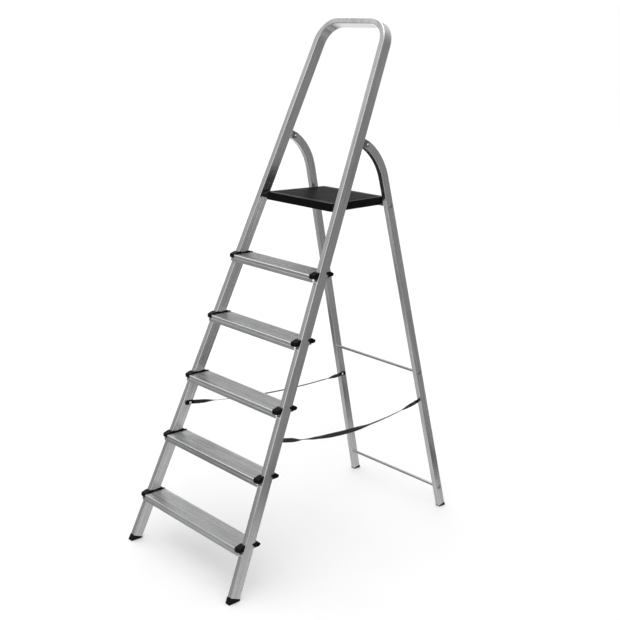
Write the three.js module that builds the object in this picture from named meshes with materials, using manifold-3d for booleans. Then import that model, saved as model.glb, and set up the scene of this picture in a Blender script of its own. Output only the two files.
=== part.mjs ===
// A six-step folding aluminium step ladder with a hoop handrail, standing open.
// Millimetres. +X is on the right of a climber, +Y runs from the treads to the rear legs, +Z is up.
import * as THREE from 'three';
import { mergeVertices } from 'three/addons/utils/BufferGeometryUtils.js';
import Module from 'manifold-3d';

const wasm = await Module();
wasm.setup();

// Front frame: one bent tube, from the left foot over the hoop to the right foot.
const LEAN = THREE.MathUtils.degToRad(23); // from the vertical
const TAPER = THREE.MathUtils.degToRad(3.75); // each stile leans in by this much
const BASE_HALF = 290; // tube axis to the middle, on the floor
const TUBE = { width: 20, depth: 40, wall: 1.5, edge: 2 };
const TUBE_END = 14; // along the tube axis, from the floor
const HOOP_TOP = 1994; // along the frame, to the axis of the hoop
const HOOP_RADIUS = 80;

// Treads.
const TREAD_COUNT = 5;
const FIRST_TREAD = 175;
const RISE = 212.5;
const TREAD = { front: 46, rear: 44, lip: 25, top: 3, wall: 2, step: 0.8, lap: 12 };
const RIB = { pitch: 4.5, width: 2.2, height: 0.8, count: 18 };
const CAP = { plate: 3, over: -0.5, top: 3, bottom: 13, peak: 7, jaw: 20.5 };

// Platform, hinged on an axle between the stiles.
const PLATFORM_TOP = 1247;
const PLATFORM = { half: 176, ahead: 10, behind: 262, above: 16, below: 13.5, wall: 3, corner: 12 };
const PLATFORM_AXLE = { y: 522.5, z: PLATFORM_TOP - PLATFORM.above, radius: 4, reach: 200 };
const GRIP = { count: 19, pitch: 12, width: 4, height: 1.2, margin: 14 };

// Rear frame: two bent legs and three round bars.
const REAR_DEPTH = 1077; // from the front frame's axis to the leg axis, on the floor
const REAR_LEAN = THREE.MathUtils.degToRad(14.3);
const REAR_BEND = THREE.MathUtils.degToRad(42);
const REAR_RADIUS = 200;
const REAR_HALF = 240;
const PIVOT_HALF = 185;
const LEG = { width: 20, depth: 30, wall: 1.5, edge: 1.5 };
const LEG_END = 6.9; // along the leg axis, from the floor
const PIVOT = { along: 1578, behind: 39 }; // in the plane of the front frame
const BAR = { radius: 5, head: 7.5, dome: 2.5 };
const BAR_HEIGHTS = { lower_crossbar: 84, upper_crossbar: 578, platform_support_bar: 1219 };

// Hinge brackets, strap clips and straps.
const BRACKET = { plate: 2, ear: 1.5, height: 26, slack: 1, nose: 7 };
const CLIP = { length: 34, height: 16, thick: 4 };
const CLIP_FRONT = { y: 218, z: 491 };
const CLIP_REAR = { ahead: 8, z: 455 }; // ahead of the leg axis
const RIVET = { shank: 3.5, head: 5, dome: 2 };
const STRAP = { width: 15, thick: 1.5, sag: 34, steps: 18 };

const GAP = 0.3; // between pieces that touch

const paint = (color, roughness, metalness) => (
  new THREE.MeshStandardMaterial({ color, roughness, metalness })
);
const MATERIALS = {
  aluminium: paint(0xb9bbbd, 0.35, 0.9),
  tread: paint(0xc6c8ca, 0.4, 0.9),
  steel: paint(0x9a9da1, 0.3, 1),
  plastic: paint(0x111213, 0.5, 0),
  webbing: paint(0x16171a, 0.9, 0),
};

// Solids.
function solid(geometry, matrix = new THREE.Matrix4()) {
  const bare = geometry.clone().applyMatrix4(matrix);
  bare.deleteAttribute('normal');
  bare.deleteAttribute('uv');
  const merged = mergeVertices(bare, 1e-4);
  return new wasm.Manifold(
    new wasm.Mesh({
      numProp: 3,
      vertProperties: Float32Array.from(merged.attributes.position.array),
      triVerts: Uint32Array.from(merged.index.array),
    }),
  );
}

function geometryOf(manifold) {
  const { vertProperties, triVerts } = manifold.getMesh();
  const geometry = new THREE.BufferGeometry();
  geometry.setAttribute('position', new THREE.BufferAttribute(Float32Array.from(vertProperties), 3));
  geometry.setIndex(new THREE.BufferAttribute(Uint32Array.from(triVerts), 1));
  geometry.computeVertexNormals();
  return geometry;
}

function mesh(name, shape, material, group) {
  const geometry = shape.isBufferGeometry ? shape : geometryOf(shape);
  const made = new THREE.Mesh(geometry, material.clone());
  made.name = name;
  group.add(made);
  return made;
}

// A closed outline through the corners, each one rounded by its own radius.
function rounded(corners, radii) {
  const shape = new THREE.Shape();
  corners.forEach((corner, i) => {
    const radius = Array.isArray(radii) ? radii[i] : radii;
    const before = corners[(i + corners.length - 1) % corners.length];
    const after = corners[(i + 1) % corners.length];
    const from = corner.clone().sub(before).normalize();
    const to = after.clone().sub(corner).normalize();
    const turn = Math.sign(from.cross(to));
    if (!radius || !turn) {
      if (i) shape.lineTo(corner.x, corner.y);
      else shape.moveTo(corner.x, corner.y);
      return;
    }
    const reach = radius * Math.tan(Math.acos(THREE.MathUtils.clamp(from.dot(to), -1, 1)) / 2);
    const start = corner.clone().addScaledVector(from, -reach);
    const centre = start.clone().add(new THREE.Vector2(-from.y, from.x).multiplyScalar(turn * radius));
    const end = corner.clone().addScaledVector(to, reach);
    if (i) shape.lineTo(start.x, start.y);
    else shape.moveTo(start.x, start.y);
    shape.absarc(centre.x, centre.y, radius, start.sub(centre).angle(), end.sub(centre).angle(), turn < 0);
  });
  shape.closePath();
  return shape;
}

// The outline of a bar of even width along a bent line; each inner point has a bend radius.
function barShape(line, bends, width, endRadius = 0) {
  const sides = [1, -1].map((side) =>
    line.map((point, i) => {
      const into = point.clone().sub(line[Math.max(i - 1, 0)]);
      const out = line[Math.min(i + 1, line.length - 1)].clone().sub(point);
      const a = (i ? into : out).normalize();
      const b = (i < line.length - 1 ? out : into).normalize();
      const miter = new THREE.Vector2(-a.y - b.y, a.x + b.x).divideScalar(1 + a.dot(b));
      const turn = Math.sign(a.cross(b));
      return {
        corner: point.clone().addScaledVector(miter, (side * width) / 2),
        radius: i && i < line.length - 1 ? bends[i - 1] - (turn * side * width) / 2 : i ? endRadius : 0,
      };
    }),
  );
  const loop = [...sides[0], ...sides[1].reverse()];
  return rounded(loop.map((p) => p.corner), loop.map((p) => p.radius));
}

// A plate on the XY plane, centred on it, with small rounded edges.
function plate(shape, thickness, edge = 0, curveSegments = 6, bevelSegments = 2) {
  const depth = thickness - 2 * edge;
  return new THREE.ExtrudeGeometry(shape, {
    depth,
    curveSegments,
    bevelEnabled: edge > 0,
    bevelThickness: edge,
    bevelSize: edge,
    bevelOffset: -edge,
    bevelSegments,
  }).translate(0, 0, -depth / 2);
}

// The same for an outline drawn in Y and Z, extruded along X.
function alongX(shape, thickness, edge = 0, curveSegments = 1, bevelSegments = 1) {
  const axes = new THREE.Matrix4().makeBasis(
    new THREE.Vector3(0, 1, 0), new THREE.Vector3(0, 0, 1), new THREE.Vector3(1, 0, 0));
  return plate(shape, thickness, edge, curveSegments, bevelSegments).applyMatrix4(axes);
}

const points = (...pairs) => pairs.map(([x, y]) => new THREE.Vector2(x, y));
const box = (x, y, z, at = [0, 0, 0]) => new THREE.BoxGeometry(x, y, z).translate(...at);
const move = (x, y, z) => new THREE.Matrix4().makeTranslation(x, y, z);

// A turned piece along X, from a profile of [radius, x] pairs that starts and ends on the axis.
function turned(profile, segments = 16) {
  return new THREE.LatheGeometry(points(...profile), segments).rotateZ(-Math.PI / 2);
}

const rod = (radius, from, to) => turned([[0, from], [radius, from], [radius, to], [0, to]]);

function headedRod(radius, reach, head, dome) {
  const end = [[head, reach], [head, reach + dome * 0.4], [head * 0.6, reach + dome], [0, reach + dome]];
  const start = end.map(([r, x]) => [r, -x]).reverse();
  return turned([...start, [radius, -reach], [radius, reach], ...end]);
}

// Frames of reference.
const frontPlane = new THREE.Matrix4().makeRotationX(-LEAN);
const stileFrame = frontPlane.clone().multiply(move(BASE_HALF, 0, 0))
  .multiply(new THREE.Matrix4().makeRotationY(-TAPER));
const inFront = (behind, along) => new THREE.Vector3(0, behind, along).applyMatrix4(frontPlane);
const pivot = inFront(PIVOT.behind, PIVOT.along);
const REAR_TILT = Math.atan((REAR_HALF - PIVOT_HALF) / pivot.z);
const legPlane = move(REAR_HALF, 0, 0).multiply(new THREE.Matrix4().makeRotationY(-REAR_TILT));
const legY = (z) => REAR_DEPTH - z * Math.tan(REAR_LEAN);
const legX = (z) => REAR_HALF - z * Math.tan(REAR_TILT);
const legInner = (z) => legX(z) - LEG.width / 2 / Math.cos(REAR_TILT);
const stileInner = (y, z) => BASE_HALF - (y * Math.sin(LEAN) + z * Math.cos(LEAN)) * Math.tan(TAPER)
  - TUBE.width / 2 / Math.cos(TAPER);
const crossHole = (radius, y, z) => solid(rod(radius, -400, 400), move(0, y, z));

function frontTube() {
  const half = (along) => BASE_HALF - along * Math.tan(TAPER);
  const line = points([-half(TUBE_END), TUBE_END], [-half(HOOP_TOP), HOOP_TOP],
    [half(HOOP_TOP), HOOP_TOP], [half(TUBE_END), TUBE_END]);
  const core = points([-half(-30), -30], [-half(HOOP_TOP), HOOP_TOP],
    [half(HOOP_TOP), HOOP_TOP], [half(-30), -30]);
  const bends = [HOOP_RADIUS, HOOP_RADIUS];
  const outer = plate(barShape(line, bends, TUBE.width), TUBE.depth, TUBE.edge);
  const inner = plate(barShape(core, bends, TUBE.width - 2 * TUBE.wall), TUBE.depth - 2 * TUBE.wall);
  const upright = frontPlane.clone().multiply(new THREE.Matrix4().makeRotationX(Math.PI / 2));
  const { y, z, radius, reach } = PLATFORM_AXLE;
  const hole = solid(rod(radius + GAP, -reach - 1, reach + 1), move(0, y, z));
  return solid(outer, upright).subtract(solid(inner, upright)).subtract(hole);
}

// A foot: a wedge between the square-cut tube and the floor, with a plug inside the tube.
function foot(frame, tube, end) {
  const block = box(tube.width + 1, tube.depth + 1, end + 30, [0, 0, (end - 30) / 2 - GAP]);
  const plug = box(tube.width - 2 * tube.wall - 1, tube.depth - 2 * tube.wall - 1, 30, [0, 0, end + 10]);
  const floor = solid(box(400, 400, 200, [0, 0, -100]), move(frame.elements[12], frame.elements[13], 0));
  return solid(block, frame).add(solid(plug, frame)).subtract(floor);
}

function treadShape() {
  const { front, rear, lip, top, wall, step } = TREAD;
  const ribs = [];
  for (let i = 0; i < RIB.count; i++) {
    const y = (i - (RIB.count - 1) / 2) * RIB.pitch + (rear - front) / 2;
    ribs.push([y - RIB.width / 2, -RIB.height], [y - RIB.width / 2, 0], [y + RIB.width / 2, 0],
      [y + RIB.width / 2, -RIB.height]);
  }
  const outline = [[-front, -lip + 1], [-front, -lip / 2 - step], [-front + step, -lip / 2],
    [-front + step, -3], [-front + 3, -RIB.height], ...ribs, [rear - 2, -RIB.height], [rear, -3],
    [rear, -lip + 1], [rear - 1, -lip], [rear - 12, -lip], [rear - 12, -lip + wall],
    [rear - wall, -lip + wall], [rear - wall, -top], [-front + wall + step, -top],
    [-front + wall + step, -lip + wall], [-front + 12, -lip + wall], [-front + 12, -lip],
    [-front + 1, -lip]];
  return rounded(points(...outline), 0);
}

// The plastic end cap of a tread, right-hand side: a strip with two jaws that hold the stile.
// Its origin is on the stile axis, at the height of the tread.
function treadCap(endX, axisX) {
  const { front, rear } = TREAD;
  const { plate: thick, over, top, bottom, peak, jaw } = CAP;
  const strip = rounded(points([-front - over, -bottom], [rear + over, -bottom], [rear + over, top - 4],
    [rear - 4, top], [-front + 4, top], [-front - over, top - 4]), [3, 3, 2, 2, 2, 2]);
  const jaws = [
    points([-front - over, -bottom + 4], [-front + 1, -bottom], [-10, -bottom], [-10, peak],
      [-front + 20, peak], [-front + 2, 1], [-front - over, -3]),
    points([10, -bottom], [rear - 6, -bottom], [rear, -bottom + 4], [rear, -3],
      [rear - 14, peak - 2], [10, peak - 2]),
  ];
  const reach = axisX + jaw / 2 - endX;
  const parts = [solid(alongX(strip, thick, 0.5), move(thick / 2, 0, 0)),
    ...jaws.map((corners) => solid(alongX(rounded(corners, 1.5), reach, 1), move(reach / 2, 0, 0)))];
  const stile = box(TUBE.width + 2 * GAP, TUBE.depth + 2 * GAP, 200);
  const pass = new THREE.Matrix4().makeRotationX(-LEAN).multiply(new THREE.Matrix4().makeRotationY(-TAPER));
  const stileRoom = solid(stile, move(axisX - endX, 0, 0).multiply(pass));
  return parts[0].add(parts[1]).add(parts[2]).subtract(stileRoom);
}

function platformSolid() {
  const { half, ahead, behind, above, below, wall, corner } = PLATFORM;
  const halfAt = (y) => half - (y + ahead) * Math.tan(TAPER);
  const outline = (inset, radius) => rounded(points(
    [-halfAt(-ahead) + inset, -ahead + inset], [halfAt(-ahead) - inset, -ahead + inset],
    [halfAt(behind) - inset, behind - inset], [-halfAt(behind) + inset, behind - inset]), radius);
  const deck = above - GRIP.height;
  const height = deck + below;
  const middle = (deck - below) / 2;
  const outer = solid(plate(outline(0, corner), height, 2, 4), move(0, 0, middle));
  const hollow = solid(plate(outline(wall, corner - wall), height, 0, 4), move(0, 0, middle - wall - 1));
  let made = outer.subtract(hollow);
  for (const x of [-90, 0, 90]) {
    made = made.add(solid(box(wall, behind + ahead - 2 * wall, height - wall,
      [x, (behind - ahead) / 2, middle])));
  }
  for (let i = 0; i < GRIP.count; i++) {
    const y = (behind - ahead) / 2 + (i - (GRIP.count - 1) / 2) * GRIP.pitch;
    const length = 2 * (halfAt(y) - GRIP.margin);
    made = made.add(solid(box(length, GRIP.width, 2 * GRIP.height, [0, y, above - GRIP.height])));
  }
  const sleeve = solid(rod(PLATFORM_AXLE.radius + 5, -half + 1, half - 1));
  const notchOutline = points([-26, -below - 12], [11, -below - 12], [8, 0], [5, 6], [-5, 6], [-10, 0]);
  const notch = alongX(rounded(notchOutline, 0), 2 * half + 20);
  const barY = legY(BAR_HEIGHTS.platform_support_bar) - PLATFORM_AXLE.y;
  const barZ = BAR_HEIGHTS.platform_support_bar - PLATFORM_AXLE.z;
  return made.add(sleeve).subtract(solid(rod(PLATFORM_AXLE.radius + GAP, -half - 9, half + 9)))
    .subtract(solid(notch, move(0, barY, barZ)));
}

function rearLeg() {
  const slope = REAR_LEAN + REAR_BEND;
  const tip = new THREE.Vector2(pivot.y, pivot.z);
  const back = new THREE.Vector2(Math.sin(slope), -Math.cos(slope));
  const rise = (legY(tip.y) - tip.x) / (back.x + back.y * Math.tan(REAR_LEAN));
  const knee = tip.clone().addScaledVector(back, rise);
  const along = (t) => [REAR_DEPTH - t * Math.sin(REAR_LEAN), t * Math.cos(REAR_LEAN)];
  const [low, under] = points(along(LEG_END), along(-20));
  const line = (start, past) => [start, knee, tip.clone().addScaledVector(back, -past)];
  const { width, depth, wall, edge } = LEG;
  const outline = barShape(line(low, depth / 2), [REAR_RADIUS], depth, depth / 2 - 0.1);
  const outer = alongX(outline, width, edge, 5, 2);
  const inner = alongX(barShape(line(under, depth / 2 - wall), [REAR_RADIUS], depth - 2 * wall,
    depth / 2 - wall - 0.1), width - 2 * wall, 0, 5);
  let leg = solid(outer, legPlane).subtract(solid(inner, legPlane));
  leg = leg.subtract(crossHole(RIVET.shank + GAP, pivot.y, pivot.z));
  for (const z of Object.values(BAR_HEIGHTS)) leg = leg.subtract(crossHole(BAR.radius + GAP, legY(z), z));
  return leg;
}

// A folded steel bracket on the rear face of the stile; its two ears hold the top of the leg.
function hingeBracket() {
  const { plate: base, ear, height, slack, nose } = BRACKET;
  const foot0 = TUBE.depth / 2 + GAP;
  const out = PIVOT.behind + nose;
  const width = LEG.width + 2 * (slack + ear);
  const block = alongX(rounded(points([foot0, -height / 2], [foot0 + 6, -height / 2], [out, -nose],
    [out, nose], [foot0 + 6, height / 2], [foot0, height / 2]), [0, 2, 6, 6, 2, 0]), width, 0, 2);
  const middle = (foot0 + base + out + 20) / 2;
  const slot = box(width - 2 * ear, out + 20 - foot0 - base, height + 10, [0, middle, 0]);
  const at = frontPlane.clone().multiply(move(PIVOT_HALF, 0, PIVOT.along));
  return solid(block, at).subtract(solid(slot, at))
    .subtract(crossHole(RIVET.shank + GAP, pivot.y, pivot.z));
}

function strapCurve(from, to) {
  const low = from.clone().lerp(to, 0.5);
  low.z -= 2 * STRAP.sag;
  return new THREE.QuadraticBezierCurve3(from, low, to);
}

function strapClip() {
  const { length, height, thick } = CLIP;
  const outline = rounded(points([-length / 2, -height / 2], [length / 2, -height / 2 + 2],
    [length / 2, height / 2 - 2], [-length / 2, height / 2]), 3);
  return solid(alongX(outline, thick, 0.8)).subtract(solid(rod(RIVET.shank + GAP, -20, 20)));
}

const ladder = new THREE.Group();
const frontFrame = new THREE.Group();
const rearFrame = new THREE.Group();
const platform = new THREE.Group();
platform.position.set(0, PLATFORM_AXLE.y, PLATFORM_AXLE.z);
ladder.add(frontFrame, rearFrame, platform);

mesh('front_frame_tube', frontTube(), MATERIALS.aluminium, frontFrame);
mesh('platform', platformSolid(), MATERIALS.plastic, platform);
const axle = rod(PLATFORM_AXLE.radius, -PLATFORM_AXLE.reach, PLATFORM_AXLE.reach);
mesh('platform_axle', axle.translate(0, PLATFORM_AXLE.y, PLATFORM_AXLE.z), MATERIALS.steel, frontFrame);

const capGap = GAP + 0.4;
const treadLevels = Array.from({ length: TREAD_COUNT }, (_, i) => {
  const z = FIRST_TREAD + i * RISE;
  const y = z * Math.tan(LEAN);
  const inner = stileInner(y + TUBE.depth / 2, z + CAP.top);
  const axisX = stileInner(y, z) + TUBE.width / 2 / Math.cos(TAPER);
  return { z, y, endX: inner - CAP.plate - capGap, axisX };
});
treadLevels.forEach(({ z, y, endX }, i) => {
  const reach = endX + CAP.plate + GAP;
  let body = solid(alongX(treadShape(), 2 * (reach + TREAD.lap)));
  for (const side of [-1, 1]) {
    const capRoom = box(40, 120, 40, [side * (endX - GAP + 20), 0, 20 - CAP.bottom - GAP]);
    const stileRoom = box(40, 120, 80, [side * (reach + 20), 60 - TREAD.front + 11.5, 0]);
    body = body.subtract(solid(capRoom)).subtract(solid(stileRoom));
  }
  mesh(`tread_${i + 1}`, body, MATERIALS.tread, frontFrame).position.set(0, y, z);
});

for (const [name, z] of Object.entries(BAR_HEIGHTS)) {
  const reach = legX(z) + LEG.width / 2 + 0.7;
  mesh(name, headedRod(BAR.radius, reach, BAR.head, BAR.dome).translate(0, legY(z), z),
    MATERIALS.aluminium, rearFrame);
}

for (const [side, sign] of [['left', -1], ['right', 1]]) {
  const front = new THREE.Group();
  const rear = new THREE.Group();
  front.scale.x = sign;
  rear.scale.x = sign;
  frontFrame.add(front);
  rearFrame.add(rear);

  mesh(`front_foot_${side}`, foot(stileFrame, TUBE, TUBE_END / Math.cos(TAPER)), MATERIALS.plastic, front);
  treadLevels.forEach(({ z, y, endX, axisX }, i) => {
    const cap = mesh(`tread_cap_${side}_${i + 1}`, treadCap(endX, axisX), MATERIALS.plastic, front);
    cap.position.set(endX, y, z);
  });

  mesh(`rear_leg_${side}`, rearLeg(), MATERIALS.aluminium, rear);
  const legFoot = legPlane.clone().multiply(move(0, REAR_DEPTH, 0))
    .multiply(new THREE.Matrix4().makeRotationX(REAR_LEAN));
  mesh(`rear_foot_${side}`, foot(legFoot, LEG, LEG_END), MATERIALS.plastic, rear);

  mesh(`hinge_bracket_${side}`, hingeBracket(), MATERIALS.steel, front);
  const pinReach = LEG.width / 2 + BRACKET.slack + BRACKET.ear + GAP;
  const pin = headedRod(RIVET.shank, pinReach, RIVET.head, RIVET.dome);
  mesh(`hinge_rivet_${side}`, pin.translate(PIVOT_HALF, pivot.y, pivot.z), MATERIALS.steel, front);

  const inner = stileInner(PLATFORM_AXLE.y, PLATFORM_AXLE.z);
  const bore = PLATFORM_AXLE.radius + GAP;
  const bushStart = PLATFORM.half + 0.5;
  const bushEnd = inner - 1;
  const bush = turned([[bore, bushStart], [9, bushStart], [9, bushEnd], [bore, bushEnd], [bore, bushStart]]);
  mesh(`axle_bush_${side}`, bush.translate(0, PLATFORM_AXLE.y, PLATFORM_AXLE.z), MATERIALS.plastic, front);

  const frontClip = new THREE.Vector3(stileInner(CLIP_FRONT.y, CLIP_FRONT.z), CLIP_FRONT.y, CLIP_FRONT.z);
  const rearClip = new THREE.Vector3(legInner(CLIP_REAR.z), legY(CLIP_REAR.z) - CLIP_REAR.ahead, CLIP_REAR.z);
  const clipFrames = [[frontClip, front, TAPER, 'front', 0], [rearClip, rear, REAR_TILT, 'rear', Math.PI]];
  const strapEnds = clipFrames.map(([at, group, tilt, end, turn]) => {
    const holder = new THREE.Group();
    holder.position.set(at.x - CLIP.thick / 2 - GAP - 0.6, at.y, at.z);
    holder.rotation.set(turn, -tilt, 0);
    group.add(holder);
    mesh(`strap_clip_${end}_${side}`, strapClip(), MATERIALS.plastic, holder);
    const { shank, head, dome } = RIVET;
    const seat = CLIP.thick / 2 + GAP;
    const stud = turned([[0, -seat - dome], [head * 0.7, -seat - dome], [head, -seat - dome * 0.4],
      [head, -seat], [shank, -seat], [shank, seat], [0, seat]]);
    mesh(`strap_rivet_${end}_${side}`, stud, MATERIALS.steel, holder);
    return new THREE.Vector3(0, CLIP.length / 2 + 1.5, 0).applyMatrix4(
      new THREE.Matrix4().compose(holder.position, holder.quaternion, new THREE.Vector3(1, 1, 1)));
  });
  const section = rounded(points([-STRAP.thick / 2, -STRAP.width / 2], [STRAP.thick / 2, -STRAP.width / 2],
    [STRAP.thick / 2, STRAP.width / 2], [-STRAP.thick / 2, STRAP.width / 2]), 0);
  const strap = new THREE.ExtrudeGeometry(section,
    { steps: STRAP.steps, extrudePath: strapCurve(strapEnds[0], strapEnds[1]) });
  mesh(`strap_${side}`, solid(strap), MATERIALS.webbing, front);
}

const bounds = new THREE.Box3().setFromObject(ladder);
ladder.position.y = -(bounds.min.y + bounds.max.y) / 2;

export default ladder;
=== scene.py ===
"""Folding aluminium step ladder: materials, webbing straps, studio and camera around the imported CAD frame."""

import math

import bmesh
import bpy
from mathutils import Matrix, Vector


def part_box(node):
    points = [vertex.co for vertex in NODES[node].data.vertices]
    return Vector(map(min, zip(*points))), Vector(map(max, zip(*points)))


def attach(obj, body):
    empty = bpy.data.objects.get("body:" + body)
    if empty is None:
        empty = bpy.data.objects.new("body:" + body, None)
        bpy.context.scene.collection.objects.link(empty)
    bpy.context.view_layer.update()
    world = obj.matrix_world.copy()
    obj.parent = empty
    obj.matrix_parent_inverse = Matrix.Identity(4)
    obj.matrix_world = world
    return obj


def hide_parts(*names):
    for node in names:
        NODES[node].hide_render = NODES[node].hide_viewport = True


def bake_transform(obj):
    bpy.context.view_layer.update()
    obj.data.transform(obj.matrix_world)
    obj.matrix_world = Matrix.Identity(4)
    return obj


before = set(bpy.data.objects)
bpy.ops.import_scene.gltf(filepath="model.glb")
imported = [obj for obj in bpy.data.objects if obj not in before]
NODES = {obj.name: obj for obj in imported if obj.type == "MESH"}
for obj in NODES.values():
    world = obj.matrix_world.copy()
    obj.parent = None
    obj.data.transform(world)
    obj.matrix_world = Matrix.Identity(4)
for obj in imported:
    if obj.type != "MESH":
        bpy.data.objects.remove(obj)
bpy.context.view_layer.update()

# ---------------------------------------------------------------- camera

CAMERA_AT = (2.712209, -2.406932, 1.803575)
CAMERA_YAW, CAMERA_PITCH, CAMERA_ROLL = 47.894, -14.911, 1.02
CAMERA_LENS, SENSOR, CAMERA_REACH = 60.73, 36.0, 60.0


def make_camera():
    yaw, pitch, roll = (math.radians(a) for a in (CAMERA_YAW, CAMERA_PITCH, CAMERA_ROLL))
    level = math.cos(pitch)
    ahead = Vector((-math.sin(yaw) * level, math.cos(yaw) * level, math.sin(pitch)))
    right = Vector((math.cos(yaw), math.sin(yaw), 0.0))
    up = right.cross(ahead)
    turned_right = right * math.cos(roll) + up * math.sin(roll)
    turned_up = up * math.cos(roll) - right * math.sin(roll)
    data = bpy.data.cameras.new("camera")
    data.lens = CAMERA_LENS
    data.sensor_width = SENSOR
    data.clip_end = CAMERA_REACH
    camera = bpy.data.objects.new("camera", data)
    matrix = Matrix((turned_right, turned_up, -ahead)).transposed().to_4x4()
    matrix.translation = Vector(CAMERA_AT)
    camera.matrix_world = matrix
    bpy.context.scene.collection.objects.link(camera)
    bpy.context.scene.camera = camera


make_camera()

# ---------------------------------------------------------------- node helpers


class Tree:
    """A node tree, with short calls for the nodes that the materials and the studio share."""

    def __init__(self, tree, place):
        self.tree = tree
        self.tree.nodes.clear()
        self.place = self.node("ShaderNodeTexCoord").outputs[place]

    def node(self, kind, **settings):
        made = self.tree.nodes.new(kind)
        for key, value in settings.items():
            setattr(made, key, value)
        return made

    def link(self, source, target):
        self.tree.links.new(source, target)

    def math(self, operation, first, second=None):
        made = self.node("ShaderNodeMath", operation=operation)
        for slot, value in zip(made.inputs, (first, second)):
            if value is None:
                continue
            if isinstance(value, (int, float)):
                slot.default_value = value
            else:
                self.link(value, slot)
        return made.outputs[0]

    def mapping(self, scale=(1, 1, 1), rotation=(0, 0, 0), source=None):
        made = self.node("ShaderNodeMapping")
        made.inputs["Scale"].default_value = scale
        made.inputs["Rotation"].default_value = rotation
        self.link(source or self.place, made.inputs["Vector"])
        return made.outputs[0]

    def noise(self, scale, detail=3.0, roughness=0.55, source=None):
        made = self.node("ShaderNodeTexNoise")
        made.inputs["Scale"].default_value = scale
        made.inputs["Detail"].default_value = detail
        made.inputs["Roughness"].default_value = roughness
        self.link(source or self.place, made.inputs["Vector"])
        return made.outputs["Fac"]

    def ramp(self, source, stops):
        made = self.node("ShaderNodeValToRGB")
        elements = made.color_ramp.elements
        while len(elements) < len(stops):
            elements.new(0.5)
        for element, (at, value) in zip(elements, stops):
            element.position = at
            element.color = (value, value, value, 1.0)
        self.link(source, made.inputs["Fac"])
        return made.outputs["Color"]

    def span(self, source, low, high, out_low, out_high):
        made = self.node("ShaderNodeMapRange")
        for name, value in (
            ("From Min", low), ("From Max", high), ("To Min", out_low), ("To Max", out_high),
        ):
            made.inputs[name].default_value = value
        self.link(source, made.inputs["Value"])
        return made.outputs["Result"]

    def mix(self, factor, first, second, blend="MIX"):
        made = self.node("ShaderNodeMix", data_type="RGBA", blend_type=blend)
        for name, value in (("Factor", factor), ("A", first), ("B", second)):
            slot = next(s for s in made.inputs if s.name == name and s.enabled)
            if isinstance(value, (int, float)) and name != "Factor":
                slot.default_value = (value, value, value, 1.0)
            elif isinstance(value, (int, float)):
                slot.default_value = value
            else:
                self.link(value, slot)
        return next(s for s in made.outputs if s.enabled)

    def bump(self, height, distance, strength=1.0, under=None):
        made = self.node("ShaderNodeBump")
        made.inputs["Distance"].default_value = distance
        made.inputs["Strength"].default_value = strength
        self.link(height, made.inputs["Height"])
        if under is not None:
            self.link(under, made.inputs["Normal"])
        return made.outputs["Normal"]

    def edges(self, radius):
        """How far a rounded normal turns from the true one: high along edges, zero on flat faces."""
        bevel = self.node("ShaderNodeBevel", samples=6)
        bevel.inputs["Radius"].default_value = radius
        geometry = self.node("ShaderNodeNewGeometry")
        dot = self.node("ShaderNodeVectorMath", operation="DOT_PRODUCT")
        self.link(bevel.outputs["Normal"], dot.inputs[0])
        self.link(geometry.outputs["True Normal"], dot.inputs[1])
        return self.math("SUBTRACT", 1.0, dot.outputs["Value"])


class Graph(Tree):
    """A material with one Principled shader, in the part's own coordinates."""

    def __init__(self, name):
        self.material = bpy.data.materials.new(name)
        self.material.use_nodes = True
        super().__init__(self.material.node_tree, "Object")
        self.shader = self.node("ShaderNodeBsdfPrincipled")
        output = self.node("ShaderNodeOutputMaterial")
        self.link(self.shader.outputs["BSDF"], output.inputs["Surface"])

    def set(self, **values):
        for key, value in values.items():
            self.shader.inputs[key.replace("_", " ")].default_value = value


# ---------------------------------------------------------------- materials

STILE_LEAN, STILE_TAPER = math.radians(23.0), math.radians(3.75)
LEG_LEAN, LEG_TAPER = math.radians(-14.3), math.radians(2.4)
METAL_WEAR_AND_HIGHLIGHT_RADIUS, PLASTIC_WORN_RADIUS = 0.0011, 0.0010
BRUSHING_DEPTH, DENT_DEPTH = 0.00004, 0.0006
GRAIN_DEPTH, PEBBLE_DEPTH = 0.00008, 0.00012
GROOVE_SHADE_REACH = 0.003
RUBBED_AND_SHEEN_GREY, RUBBED_AND_SHEEN_MARGIN = 0.015, 0.0004
YARNS_ACROSS, TWILL_PER_METRE = 9.0, 900.0


def along_the_tube(g, lean, taper):
    """Object coordinates turned so that Z runs along a tube. The right half is mirrored on to the left."""
    split = g.node("ShaderNodeSeparateXYZ")
    g.link(g.place, split.inputs[0])
    joined = g.node("ShaderNodeCombineXYZ")
    g.link(g.math("ABSOLUTE", split.outputs["X"]), joined.inputs["X"])
    g.link(split.outputs["Y"], joined.inputs["Y"])
    g.link(split.outputs["Z"], joined.inputs["Z"])
    return g.mapping(rotation=(lean, taper, 0.0), source=joined.outputs[0])


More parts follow.
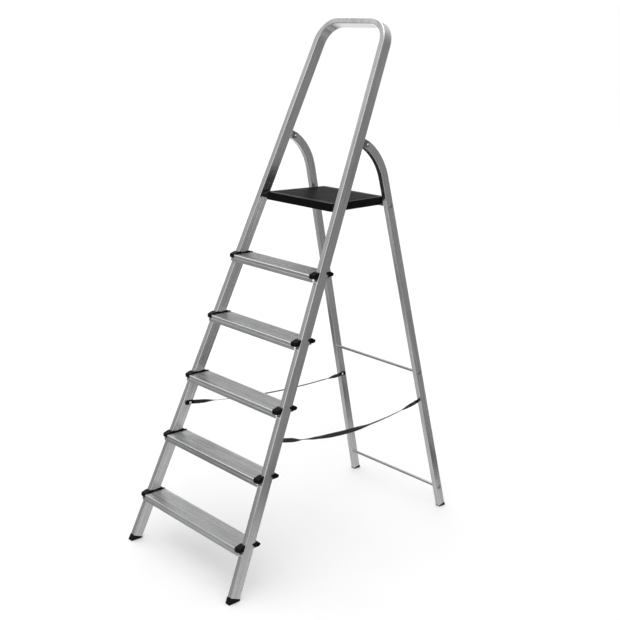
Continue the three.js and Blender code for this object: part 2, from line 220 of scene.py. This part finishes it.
def metal_finish(g, grain_place, shade, rough, grain=(1.0, 1.0, 0.01), grain_scale=900.0, dent=0.25):
    """Satin metal: fine lines along the part, cloudy handling marks, scuffs, and edges lightened partly as wear
    and partly as a painted highlight.
    """
    stretched = g.mapping(scale=grain, source=grain_place)
    lines = g.noise(grain_scale, 2.0, 0.6, stretched)
    coarse = g.noise(grain_scale * 0.3, 2.0, 0.5, stretched)
    cloud = g.noise(7.0, 4.0, 0.6)
    smudge = g.noise(26.0, 5.0, 0.65)
    scuffs = g.noise(420.0, 3.0, 0.7, g.mapping(scale=(1.0, 0.22, 0.5)))
    scuffed = g.ramp(scuffs, [(0.66, 0.0), (0.72, 1.0)])
    # Edges lightened in colour: partly wear, partly a painted highlight along the edges.
    lightened_edges = g.span(g.edges(METAL_WEAR_AND_HIGHLIGHT_RADIUS), 0.03, 0.25, 0.0, 1.0)
    base = g.span(cloud, 0.3, 0.7, shade * 0.94, shade * 1.05)
    base = g.math("MULTIPLY", base, g.span(lines, 0.3, 0.7, 0.90, 1.09))
    base = g.math("MULTIPLY", base, g.span(coarse, 0.3, 0.7, 0.85, 1.15))
    base = g.math("MULTIPLY", base, g.span(smudge, 0.35, 0.75, 1.02, 0.94))
    tint = g.node("ShaderNodeCombineColor")
    for name, gain in (("Red", 0.995), ("Green", 1.0), ("Blue", 1.012)):
        g.link(g.math("MULTIPLY", base, gain), tint.inputs[name])
    colour = g.mix(g.math("MULTIPLY", lightened_edges, 0.55), tint.outputs[0], min(1.0, shade * 1.25))
    g.link(colour, g.shader.inputs["Base Color"])
    g.set(Metallic=1.0)
    uneven = g.span(smudge, 0.3, 0.7, rough * 0.88, rough * 1.16)
    uneven = g.math("ADD", uneven, g.span(coarse, 0.3, 0.7, -0.03, 0.03))
    uneven = g.math("ADD", uneven, g.math("MULTIPLY", scuffed, 0.08))
    g.link(g.math("SUBTRACT", uneven, g.math("MULTIPLY", lightened_edges, 0.08)), g.shader.inputs["Roughness"])
    fine = g.bump(lines, BRUSHING_DEPTH, 0.5)
    dents = g.bump(g.noise(11.0, 2.0, 0.4), DENT_DEPTH, dent, fine)
    g.link(dents, g.shader.inputs["Normal"])
    return g.material


def aluminium(name, lean, taper):
    g = Graph(name)
    return metal_finish(g, along_the_tube(g, lean, taper), 0.82, 0.23)


def tread_metal():
    """Mill-finish tread: drawn lines from side to side, painted shade in the grooves from ambient occlusion,
    and fine dark specks.
    """
    g = Graph("tread_aluminium")
    metal_finish(g, g.place, 0.70, 0.34, grain=(0.01, 1.0, 1.0), dent=0.06)
    # Ambient occlusion darkens the grooves: painted shade. The specks below are real marks.
    shelter = g.node("ShaderNodeAmbientOcclusion", samples=6, only_local=True)
    shelter.inputs["Distance"].default_value = GROOVE_SHADE_REACH
    groove_shade_and_specks = g.span(shelter.outputs["AO"], 0.35, 0.95, 0.45, 1.0)
    specks = g.noise(330.0, 3.0, 0.75, g.mapping(scale=(0.45, 1.0, 1.0)))
    groove_shade_and_specks = g.math("MULTIPLY", groove_shade_and_specks, g.span(specks, 0.35, 0.65, 0.86, 1.06))
    plain_colour = g.shader.inputs["Base Color"].links[0].from_socket
    g.link(g.mix(1.0, plain_colour, groove_shade_and_specks, "MULTIPLY"), g.shader.inputs["Base Color"])
    return g.material


def bar_metal():
    g = Graph("zinc_plated_steel")
    metal_finish(g, g.place, 0.36, 0.30, grain=(0.02, 1.0, 1.0), grain_scale=500.0)
    return g.material


def rivet_metal():
    g = Graph("rivet_steel")
    metal_finish(g, g.place, 0.78, 0.30, grain=(1.0, 1.0, 1.0), grain_scale=240.0)
    return g.material


def moulded_plastic(name, shade, rough, pebble, dust=0.3, shine=0.14, rubbed_and_sheen_above=None):
    """Black moulded plastic: fine grain, greyed edges and scratches, and lighter above a height, partly as shoe
    rubbing and partly as a painted sheen on the top faces.
    """
    g = Graph(name)
    grain = g.noise(pebble, 4.0, 0.6)
    cells = g.node("ShaderNodeTexVoronoi", feature="SMOOTH_F1")
    cells.inputs["Scale"].default_value = pebble * 0.55
    g.link(g.place, cells.inputs["Vector"])
    cloud = g.noise(14.0, 4.0, 0.6)
    scratch = g.noise(260.0, 3.0, 0.7, g.mapping(scale=(0.12, 1.0, 1.0), rotation=(0.0, 0.0, 0.4)))
    scratched = g.ramp(scratch, [(0.63, 0.0), (0.68, 1.0)])
    lightened_edges = g.span(g.edges(PLASTIC_WORN_RADIUS), 0.05, 0.35, 0.0, 1.0)
    shade_of = g.span(cloud, 0.3, 0.7, shade * 0.8, shade * 1.35)
    shade_of = g.math("ADD", shade_of, g.math("MULTIPLY", lightened_edges, shade * 1.6))
    shade_of = g.math("ADD", shade_of, g.math("MULTIPLY", scratched, shade * dust))
    # Faces above the height are lightened in patches: partly shoe rubbing, partly a painted sheen on the top
    # faces.
    if rubbed_and_sheen_above is not None:
        split = g.node("ShaderNodeSeparateXYZ")
        g.link(g.place, split.inputs[0])
        top = g.math("GREATER_THAN", split.outputs["Z"], rubbed_and_sheen_above)
        patchy = g.span(g.noise(38.0, 4.0, 0.65), 0.35, 0.68, 0.25, 1.0)
        rubbed_and_sheen = g.math("MULTIPLY", g.math("MULTIPLY", top, patchy), RUBBED_AND_SHEEN_GREY)
        shade_of = g.math("ADD", shade_of, rubbed_and_sheen)
    g.link(shade_of, g.shader.inputs["Base Color"])
    uneven = g.span(cloud, 0.3, 0.7, rough * 0.88, rough * 1.12)
    g.link(g.math("ADD", uneven, g.math("MULTIPLY", scratched, 0.06)), g.shader.inputs["Roughness"])
    fine = g.bump(grain, GRAIN_DEPTH, 0.6)
    g.link(g.bump(cells.outputs["Distance"], PEBBLE_DEPTH, 0.5, fine), g.shader.inputs["Normal"])
    g.set(Specular_IOR_Level=shine)
    return g.material


def webbing():
    """Woven black polyester: a herringbone over the band, read from the band's own length and width."""
    g = Graph("webbing")
    band = g.node("ShaderNodeUVMap", uv_map="band").outputs["UV"]
    split = g.node("ShaderNodeSeparateXYZ")
    g.link(band, split.inputs[0])
    across, along = split.outputs["X"], split.outputs["Y"]
    saw = g.math("PINGPONG", g.math("MULTIPLY", across, YARNS_ACROSS * 0.5), 0.5)
    turns = g.math("ADD", g.math("MULTIPLY", along, TWILL_PER_METRE), saw)
    twill = g.math("SINE", g.math("MULTIPLY", turns, math.tau))
    ribs = g.math("COSINE", g.math("MULTIPLY", across, YARNS_ACROSS * math.tau))
    weave = g.math("ADD", g.math("MULTIPLY", twill, 0.6), g.math("MULTIPLY", ribs, 0.4))
    fuzz = g.noise(2600.0, 2.0, 0.7)
    cloud = g.noise(60.0, 4.0, 0.6)
    shade = g.span(weave, -1.0, 1.0, 0.003, 0.012)
    shade = g.math("MULTIPLY", shade, g.span(fuzz, 0.3, 0.7, 0.75, 1.25))
    shade = g.math("MULTIPLY", shade, g.span(cloud, 0.3, 0.7, 0.8, 1.25))
    g.link(shade, g.shader.inputs["Base Color"])
    g.link(g.span(fuzz, 0.3, 0.7, 0.62, 0.85), g.shader.inputs["Roughness"])
    g.set(Sheen_Weight=0.12, Sheen_Roughness=0.4, Specular_IOR_Level=0.3)
    lift = g.bump(weave, 0.0003, 0.8)
    g.link(g.bump(fuzz, 0.00005, 0.6, lift), g.shader.inputs["Normal"])
    return g.material


def thread():
    g = Graph("stitch_thread")
    twist = g.noise(3000.0, 1.0, 0.5)
    g.link(g.ramp(twist, [(0.3, 0.10), (0.7, 0.22)]), g.shader.inputs["Base Color"])
    g.set(Roughness=0.7)
    g.link(g.bump(twist, 0.00005, 0.6), g.shader.inputs["Normal"])
    return g.material


STILE_METAL = aluminium("stile_aluminium", STILE_LEAN, STILE_TAPER)
LEG_METAL = aluminium("leg_aluminium", LEG_LEAN, LEG_TAPER)
TREAD_METAL = tread_metal()
BAR_METAL = bar_metal()
RIVET_METAL = rivet_metal()
BLACK_PLASTIC = moulded_plastic("black_plastic", 0.0024, 0.36, 900.0, shine=0.09)
PLATFORM_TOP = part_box("platform")[1][2]
PLATFORM_PLASTIC = moulded_plastic(
    "platform_plastic", 0.0016, 0.36, 1400.0, shine=0.10, rubbed_and_sheen_above=PLATFORM_TOP - RUBBED_AND_SHEEN_MARGIN,
)
FOOT_PLASTIC = moulded_plastic("foot_plastic", 0.0035, 0.5, 800.0, dust=1.2)
WEBBING = webbing()
THREAD = thread()

# The first prefix that a node's name starts with gives its material.
FINISHES = (
    ("front_frame_tube", STILE_METAL),
    ("rear_leg", LEG_METAL),
    ("tread_cap", BLACK_PLASTIC),
    ("tread_", TREAD_METAL),
    ("front_foot", FOOT_PLASTIC),
    ("rear_foot", FOOT_PLASTIC),
    ("strap_clip", BLACK_PLASTIC),
    ("strap_rivet", RIVET_METAL),
    ("hinge_rivet", RIVET_METAL),
    ("hinge_bracket", BAR_METAL),
    ("axle_bush", BLACK_PLASTIC),
    ("platform_axle", BAR_METAL),
    ("platform_support_bar", BAR_METAL),
    ("platform", PLATFORM_PLASTIC),
    ("lower_crossbar", BAR_METAL),
    ("upper_crossbar", BAR_METAL),
)


def finish_nodes():
    for name, obj in NODES.items():
        match = next((material for prefix, material in FINISHES if name.startswith(prefix)), None)
        if match is not None:
            obj.data.materials.clear()
            obj.data.materials.append(match)


finish_nodes()

# ---------------------------------------------------------------- straps

STRAP_WIDTH, STRAP_THICK = 0.015, 0.0016
# Along the band at rest, from inside one clip to inside the other.
STRAP_LENGTH = {"left": 0.716, "right": 0.721}
STRAP_STEPS = 160
STRAP_SAG = {"left": 0.021, "right": 0.040}
# Turns of the band about its own line, in degrees, at shares of its length. Zero stands the width upright.
STRAP_TWIST = {
    "left": ((0.0, 0), (0.05, 6), (0.15, 72), (0.5, 82), (0.88, 76), (0.96, 10), (1.0, 0)),
    "right": (
        (0.0, 0), (0.05, 6), (0.18, 119), (0.25, 148), (0.39, 205), (0.49, 215), (0.65, 284), (0.85, 298),
        (0.95, 352), (1.0, 360),
    ),
}
STRAP_TUCK, FOLD_LENGTH, FOLD_NARROWING = 0.006, 0.030, 0.99
STITCH_LENGTH, STITCH_RADIUS = 0.0022, 0.00028
STITCH_SPACING = STITCH_LENGTH * 1.35
STITCH_END_INSET, STITCH_SIDE_INSET = 0.0030, 0.0018


def eased(table, at):
    """A smooth value between the table's (place, value) pairs."""
    for (a, low), (b, high) in zip(table, table[1:]):
        if at <= b:
            t = (at - a) / (b - a)
            return low + (high - low) * t * t * (3 - 2 * t)
    return table[-1][1]


def strap_frames(side):
    """(point, along, across, out) down the band, from inside the front clip to inside the rear one."""
    hand = 1.0 if side == "right" else -1.0
    ends = []
    for end, turn in (("front", 1), ("rear", -1)):
        low, high = (Vector(p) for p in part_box(f"strap_clip_{end}_{side}"))
        middle = (low + high) / 2
        middle.y = (high.y if end == "front" else low.y) - turn * STRAP_TUCK
        ends.append(middle)
    points = []
    for i in range(STRAP_STEPS + 1):
        t = i / STRAP_STEPS
        point = ends[0].lerp(ends[1], t)
        point.z -= STRAP_SAG[side] * 4.0 * t * (1.0 - t)
        points.append(point)
    frames = []
    for i, point in enumerate(points):
        t = i / STRAP_STEPS
        along = (points[min(i + 1, STRAP_STEPS)] - points[max(i - 1, 0)]).normalized()
        upright = (Vector((0, 0, 1)) - along * along.z).normalized()
        turn = Matrix.Rotation(math.radians(-hand * eased(STRAP_TWIST[side], t)), 3, along)
        across = turn @ upright
        frames.append((point, along, across, along.cross(across)))
    return frames


def band_section(width, thick):
    """The band's cross-section with rounded selvedges: (across, out) pairs."""
    half, corner = width / 2, thick / 2
    section = []
    for turn in range(5):
        angle = math.radians(-90 + 45 * turn)
        section.append((half - corner + corner * math.cos(angle), corner * math.sin(angle)))
    flat = [(half * share, corner) for share in (0.6, 0.2, -0.2, -0.6)]
    other = [(-x, -y) for x, y in section]
    return section + flat + other + [(-x, -y) for x, y in flat]


def band_mesh(name, frames, width, thick, lift=0.0):
    """A closed band along the frames, with its own length and width, in metres, as the UV map called band."""
    section = band_section(width, thick)
    count = len(section)
    verts, faces, lengths = [], [], [0.0]
    for i, (point, _, across, out) in enumerate(frames):
        verts += [point + across * a + out * (b + lift) for a, b in section]
        if i:
            lengths.append(lengths[-1] + (point - frames[i - 1][0]).length)
    for i in range(len(frames) - 1):
        for k in range(count):
            n = (k + 1) % count
            faces.append((i * count + k, i * count + n, (i + 1) * count + n, (i + 1) * count + k))
    last = (len(frames) - 1) * count
    faces.append(tuple(range(count))[::-1])
    faces.append(tuple(last + k for k in range(count)))
    mesh = bpy.data.meshes.new(name)
    mesh.from_pydata(verts, [], faces)
    layer = mesh.uv_layers.new(name="band")
    for loop in mesh.loops:
        row, k = divmod(loop.vertex_index, count)
        layer.data[loop.index].uv = (section[k][0] / width + 0.5, lengths[row])
    made = bmesh.new()
    made.from_mesh(mesh)
    bmesh.ops.recalc_face_normals(made, faces=made.faces)
    made.to_mesh(mesh)
    made.free()
    for face in mesh.polygons:
        face.use_smooth = len(face.vertices) == 4
    piece = bpy.data.objects.new(name, mesh)
    bpy.context.scene.collection.objects.link(piece)
    return piece


def stitch_mesh(name, frames, width, lift):
    """A boxed row of short thread capsules over the folded end."""
    made = bmesh.new()
    start, finish = frames[0][0], frames[-1][0]
    reach = (finish - start).length
    middle = frames[len(frames) // 2]
    along, across, out = (finish - start).normalized(), middle[2], middle[3]
    half, inset = width / 2 - STITCH_SIDE_INSET, STITCH_END_INSET
    spots = []
    for edge in (-half, half):
        rows = int((reach - 2 * inset) / STITCH_SPACING)
        spots += [(inset + (i + 0.5) * STITCH_SPACING, edge, along) for i in range(rows)]
    for end in (inset, reach - inset):
        rows = int(2 * half / STITCH_SPACING)
        spots += [(end, -half + (i + 0.5) * STITCH_SPACING, across) for i in range(rows)]
    stretch = Matrix.Diagonal((1, 1, STITCH_LENGTH / 2 / STITCH_RADIUS, 1))
    for down, aside, heading in spots:
        side = out.cross(heading).normalized()
        for face in (1, -1):
            centre = start + along * down + across * aside + out * (face * lift[face])
            turn = Matrix((side, out * face, heading * face)).transposed().to_4x4()
            bmesh.ops.create_uvsphere(
                made, u_segments=8, v_segments=6, radius=STITCH_RADIUS,
                matrix=Matrix.Translation(centre) @ turn @ stretch,
            )
    mesh = bpy.data.meshes.new(name)
    made.to_mesh(mesh)
    made.free()
    for face in mesh.polygons:
        face.use_smooth = True
    piece = bpy.data.objects.new(name, mesh)
    bpy.context.scene.collection.objects.link(piece)
    return piece


def make_strap(side):
    """One strap from clip to clip, with a folded and stitched end beside each clip."""
    frames = strap_frames(side)
    strap = band_mesh(f"webbing_strap_{side}", frames, STRAP_WIDTH, STRAP_THICK)
    strap.data.materials.append(WEBBING)
    step = STRAP_LENGTH[side] / STRAP_STEPS
    first, count = int(STRAP_TUCK / step) + 1, int(FOLD_LENGTH / step)
    for end, body in (("front", "front_frame"), ("rear", "rear_frame")):
        span = frames[first:first + count + 1] if end == "front" else frames[-first - count - 1:-first]
        width = STRAP_WIDTH * FOLD_NARROWING
        fold = band_mesh(f"strap_fold_{end}_{side}", span, width, STRAP_THICK, lift=STRAP_THICK)
        fold.data.materials.append(WEBBING)
        lift = {1: STRAP_THICK * 1.5, -1: STRAP_THICK * 0.5}
        stitches = stitch_mesh(f"strap_stitches_{end}_{side}", span, STRAP_WIDTH, lift)
        stitches.data.materials.append(THREAD)
        for piece in (fold, stitches):
            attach(piece, body)
    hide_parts(f"strap_{side}")
    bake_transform(strap)


for strap_side in ("left", "right"):
    make_strap(strap_side)

# ---------------------------------------------------------------- studio

FLOOR_HALF, FLOOR_DROP, DOME_RADIUS = 20.0, 0.0006, 19.0
BOUNCE_REACH, BOUNCE_GLOW, BOUNCE_DROP = 1.25, 0.48, 0.0003
# Heading, strength and spread in degrees.
KEY_SUN = ((0.25, 0.2, -1.0), 1.7, 60.0)
SOFT_SUN = ((0.55, 0.25, -1.0), 0.74, 100.0)
ROOM_WALL, ROOM_CEILING, ROOM_FLOOR = 0.38, 0.8, 0.15
# Patches of the room as (direction, gain, cosine of the angle to the edge): the far left wall, the dimmer far
# right corner, the wide window behind the camera, and the floor on the far left.
ROOM_PANELS = (
    ((-0.72, 0.64, 0.26), 0.48, 0.55),
    ((0.72, 0.64, -0.26), -0.10, 0.5),
    ((0.72, -0.64, 0.30), 2.2, 0.66),
    ((-0.72, 0.50, -0.42), 0.55, 0.80),
)


def sun(name, heading, strength, spread):
    data = bpy.data.lights.new(name, "SUN")
    data.energy = strength
    data.angle = math.radians(spread)
    light = bpy.data.objects.new(name, data)
    light.rotation_euler = Vector(heading).to_track_quat("-Z", "Y").to_euler()
    bpy.context.scene.collection.objects.link(light)
    return light


def staged(name, material, add_shape, **shape):
    """A piece of the studio, made by a bmesh operator and left out of the part."""
    mesh = bpy.data.meshes.new(name)
    made = bmesh.new()
    add_shape(made, **shape)
    made.to_mesh(mesh)
    made.free()
    mesh.materials.append(material)
    piece = bpy.data.objects.new(name, mesh)
    bpy.context.scene.collection.objects.link(piece)
    return piece


def glowing(name):
    """A black, matt material that only gives off white light."""
    g = Graph(name)
    g.set(Base_Color=(0, 0, 0, 1), Specular_IOR_Level=0.0, Roughness=1.0, Emission_Color=(1, 1, 1, 1))
    return g


def room_light():
    """A softly graded room: a bright ceiling, dim walls, a pale floor, and the patches in ROOM_PANELS."""
    world = bpy.data.worlds.new("studio")
    world.use_nodes = True
    t = Tree(world.node_tree, "Generated")
    split = t.node("ShaderNodeSeparateXYZ")
    t.link(t.place, split.inputs[0])
    height = split.outputs["Z"]
    level = t.math("ADD", ROOM_WALL, t.span(height, 0.25, 0.9, 0.0, ROOM_CEILING))
    depth = t.math("MULTIPLY", height, -1.0)
    level = t.math("ADD", level, t.span(depth, 0.2, 0.75, 0.0, ROOM_FLOOR))
    for direction, gain, edge in ROOM_PANELS:
        dot = t.node("ShaderNodeVectorMath", operation="DOT_PRODUCT")
        t.link(t.place, dot.inputs[0])
        dot.inputs[1].default_value = Vector(direction).normalized()
        level = t.math("ADD", level, t.span(dot.outputs["Value"], edge, 1.0, 0.0, gain))
    background = t.node("ShaderNodeBackground")
    t.link(level, background.inputs["Strength"])
    output = t.node("ShaderNodeOutputWorld")
    t.link(background.outputs[0], output.inputs["Surface"])
    bpy.context.scene.world = world


def bounce_light():
    """The bright floor around the ladder, as its metal sees it: strong underneath and fading outwards."""
    glow = glowing("bounce")
    ball = glow.node("ShaderNodeTexGradient", gradient_type="SPHERICAL")
    glow.link(glow.mapping(scale=(1 / BOUNCE_REACH,) * 3), ball.inputs["Vector"])
    strength = glow.span(ball.outputs["Fac"], 0.0, 0.45, 0.0, BOUNCE_GLOW)
    glow.link(strength, glow.shader.inputs["Emission Strength"])
    patch = staged(
        "bounce", glow.material, bmesh.ops.create_circle, cap_ends=True, segments=64, radius=BOUNCE_REACH,
    )
    patch.location.z = -BOUNCE_DROP
    patch.visible_camera = patch.visible_diffuse = patch.visible_shadow = patch.visible_transmission = False


def make_studio():
    """A white floor and backdrop. The metal sees the graded room and the bounce patch in their place."""
    g = Graph("floor")
    g.link(g.ramp(g.noise(3.0, 2.0), [(0.3, 0.93), (0.7, 0.95)]), g.shader.inputs["Base Color"])
    g.set(Roughness=0.8)
    floor = staged("floor", g.material, bmesh.ops.create_grid, x_segments=1, y_segments=1, size=FLOOR_HALF)
    floor.location.z = -FLOOR_DROP
    floor.visible_glossy = False

    backdrop = glowing("backdrop")
    backdrop.set(Emission_Strength=1.0)
    dome = staged(
        "backdrop", backdrop.material, bmesh.ops.create_uvsphere, u_segments=48, v_segments=24,
        radius=DOME_RADIUS,
    )
    dome.visible_diffuse = dome.visible_glossy = dome.visible_shadow = dome.visible_transmission = False
    bounce_light()
    room_light()
    # The key shines only in reflections, and the soft sun lights only matt surfaces such as the floor.
    sun("key", *KEY_SUN).visible_diffuse = False
    sun("soft", *SOFT_SUN).visible_glossy = False
    bpy.context.scene.view_settings.view_transform = "Standard"


make_studio()
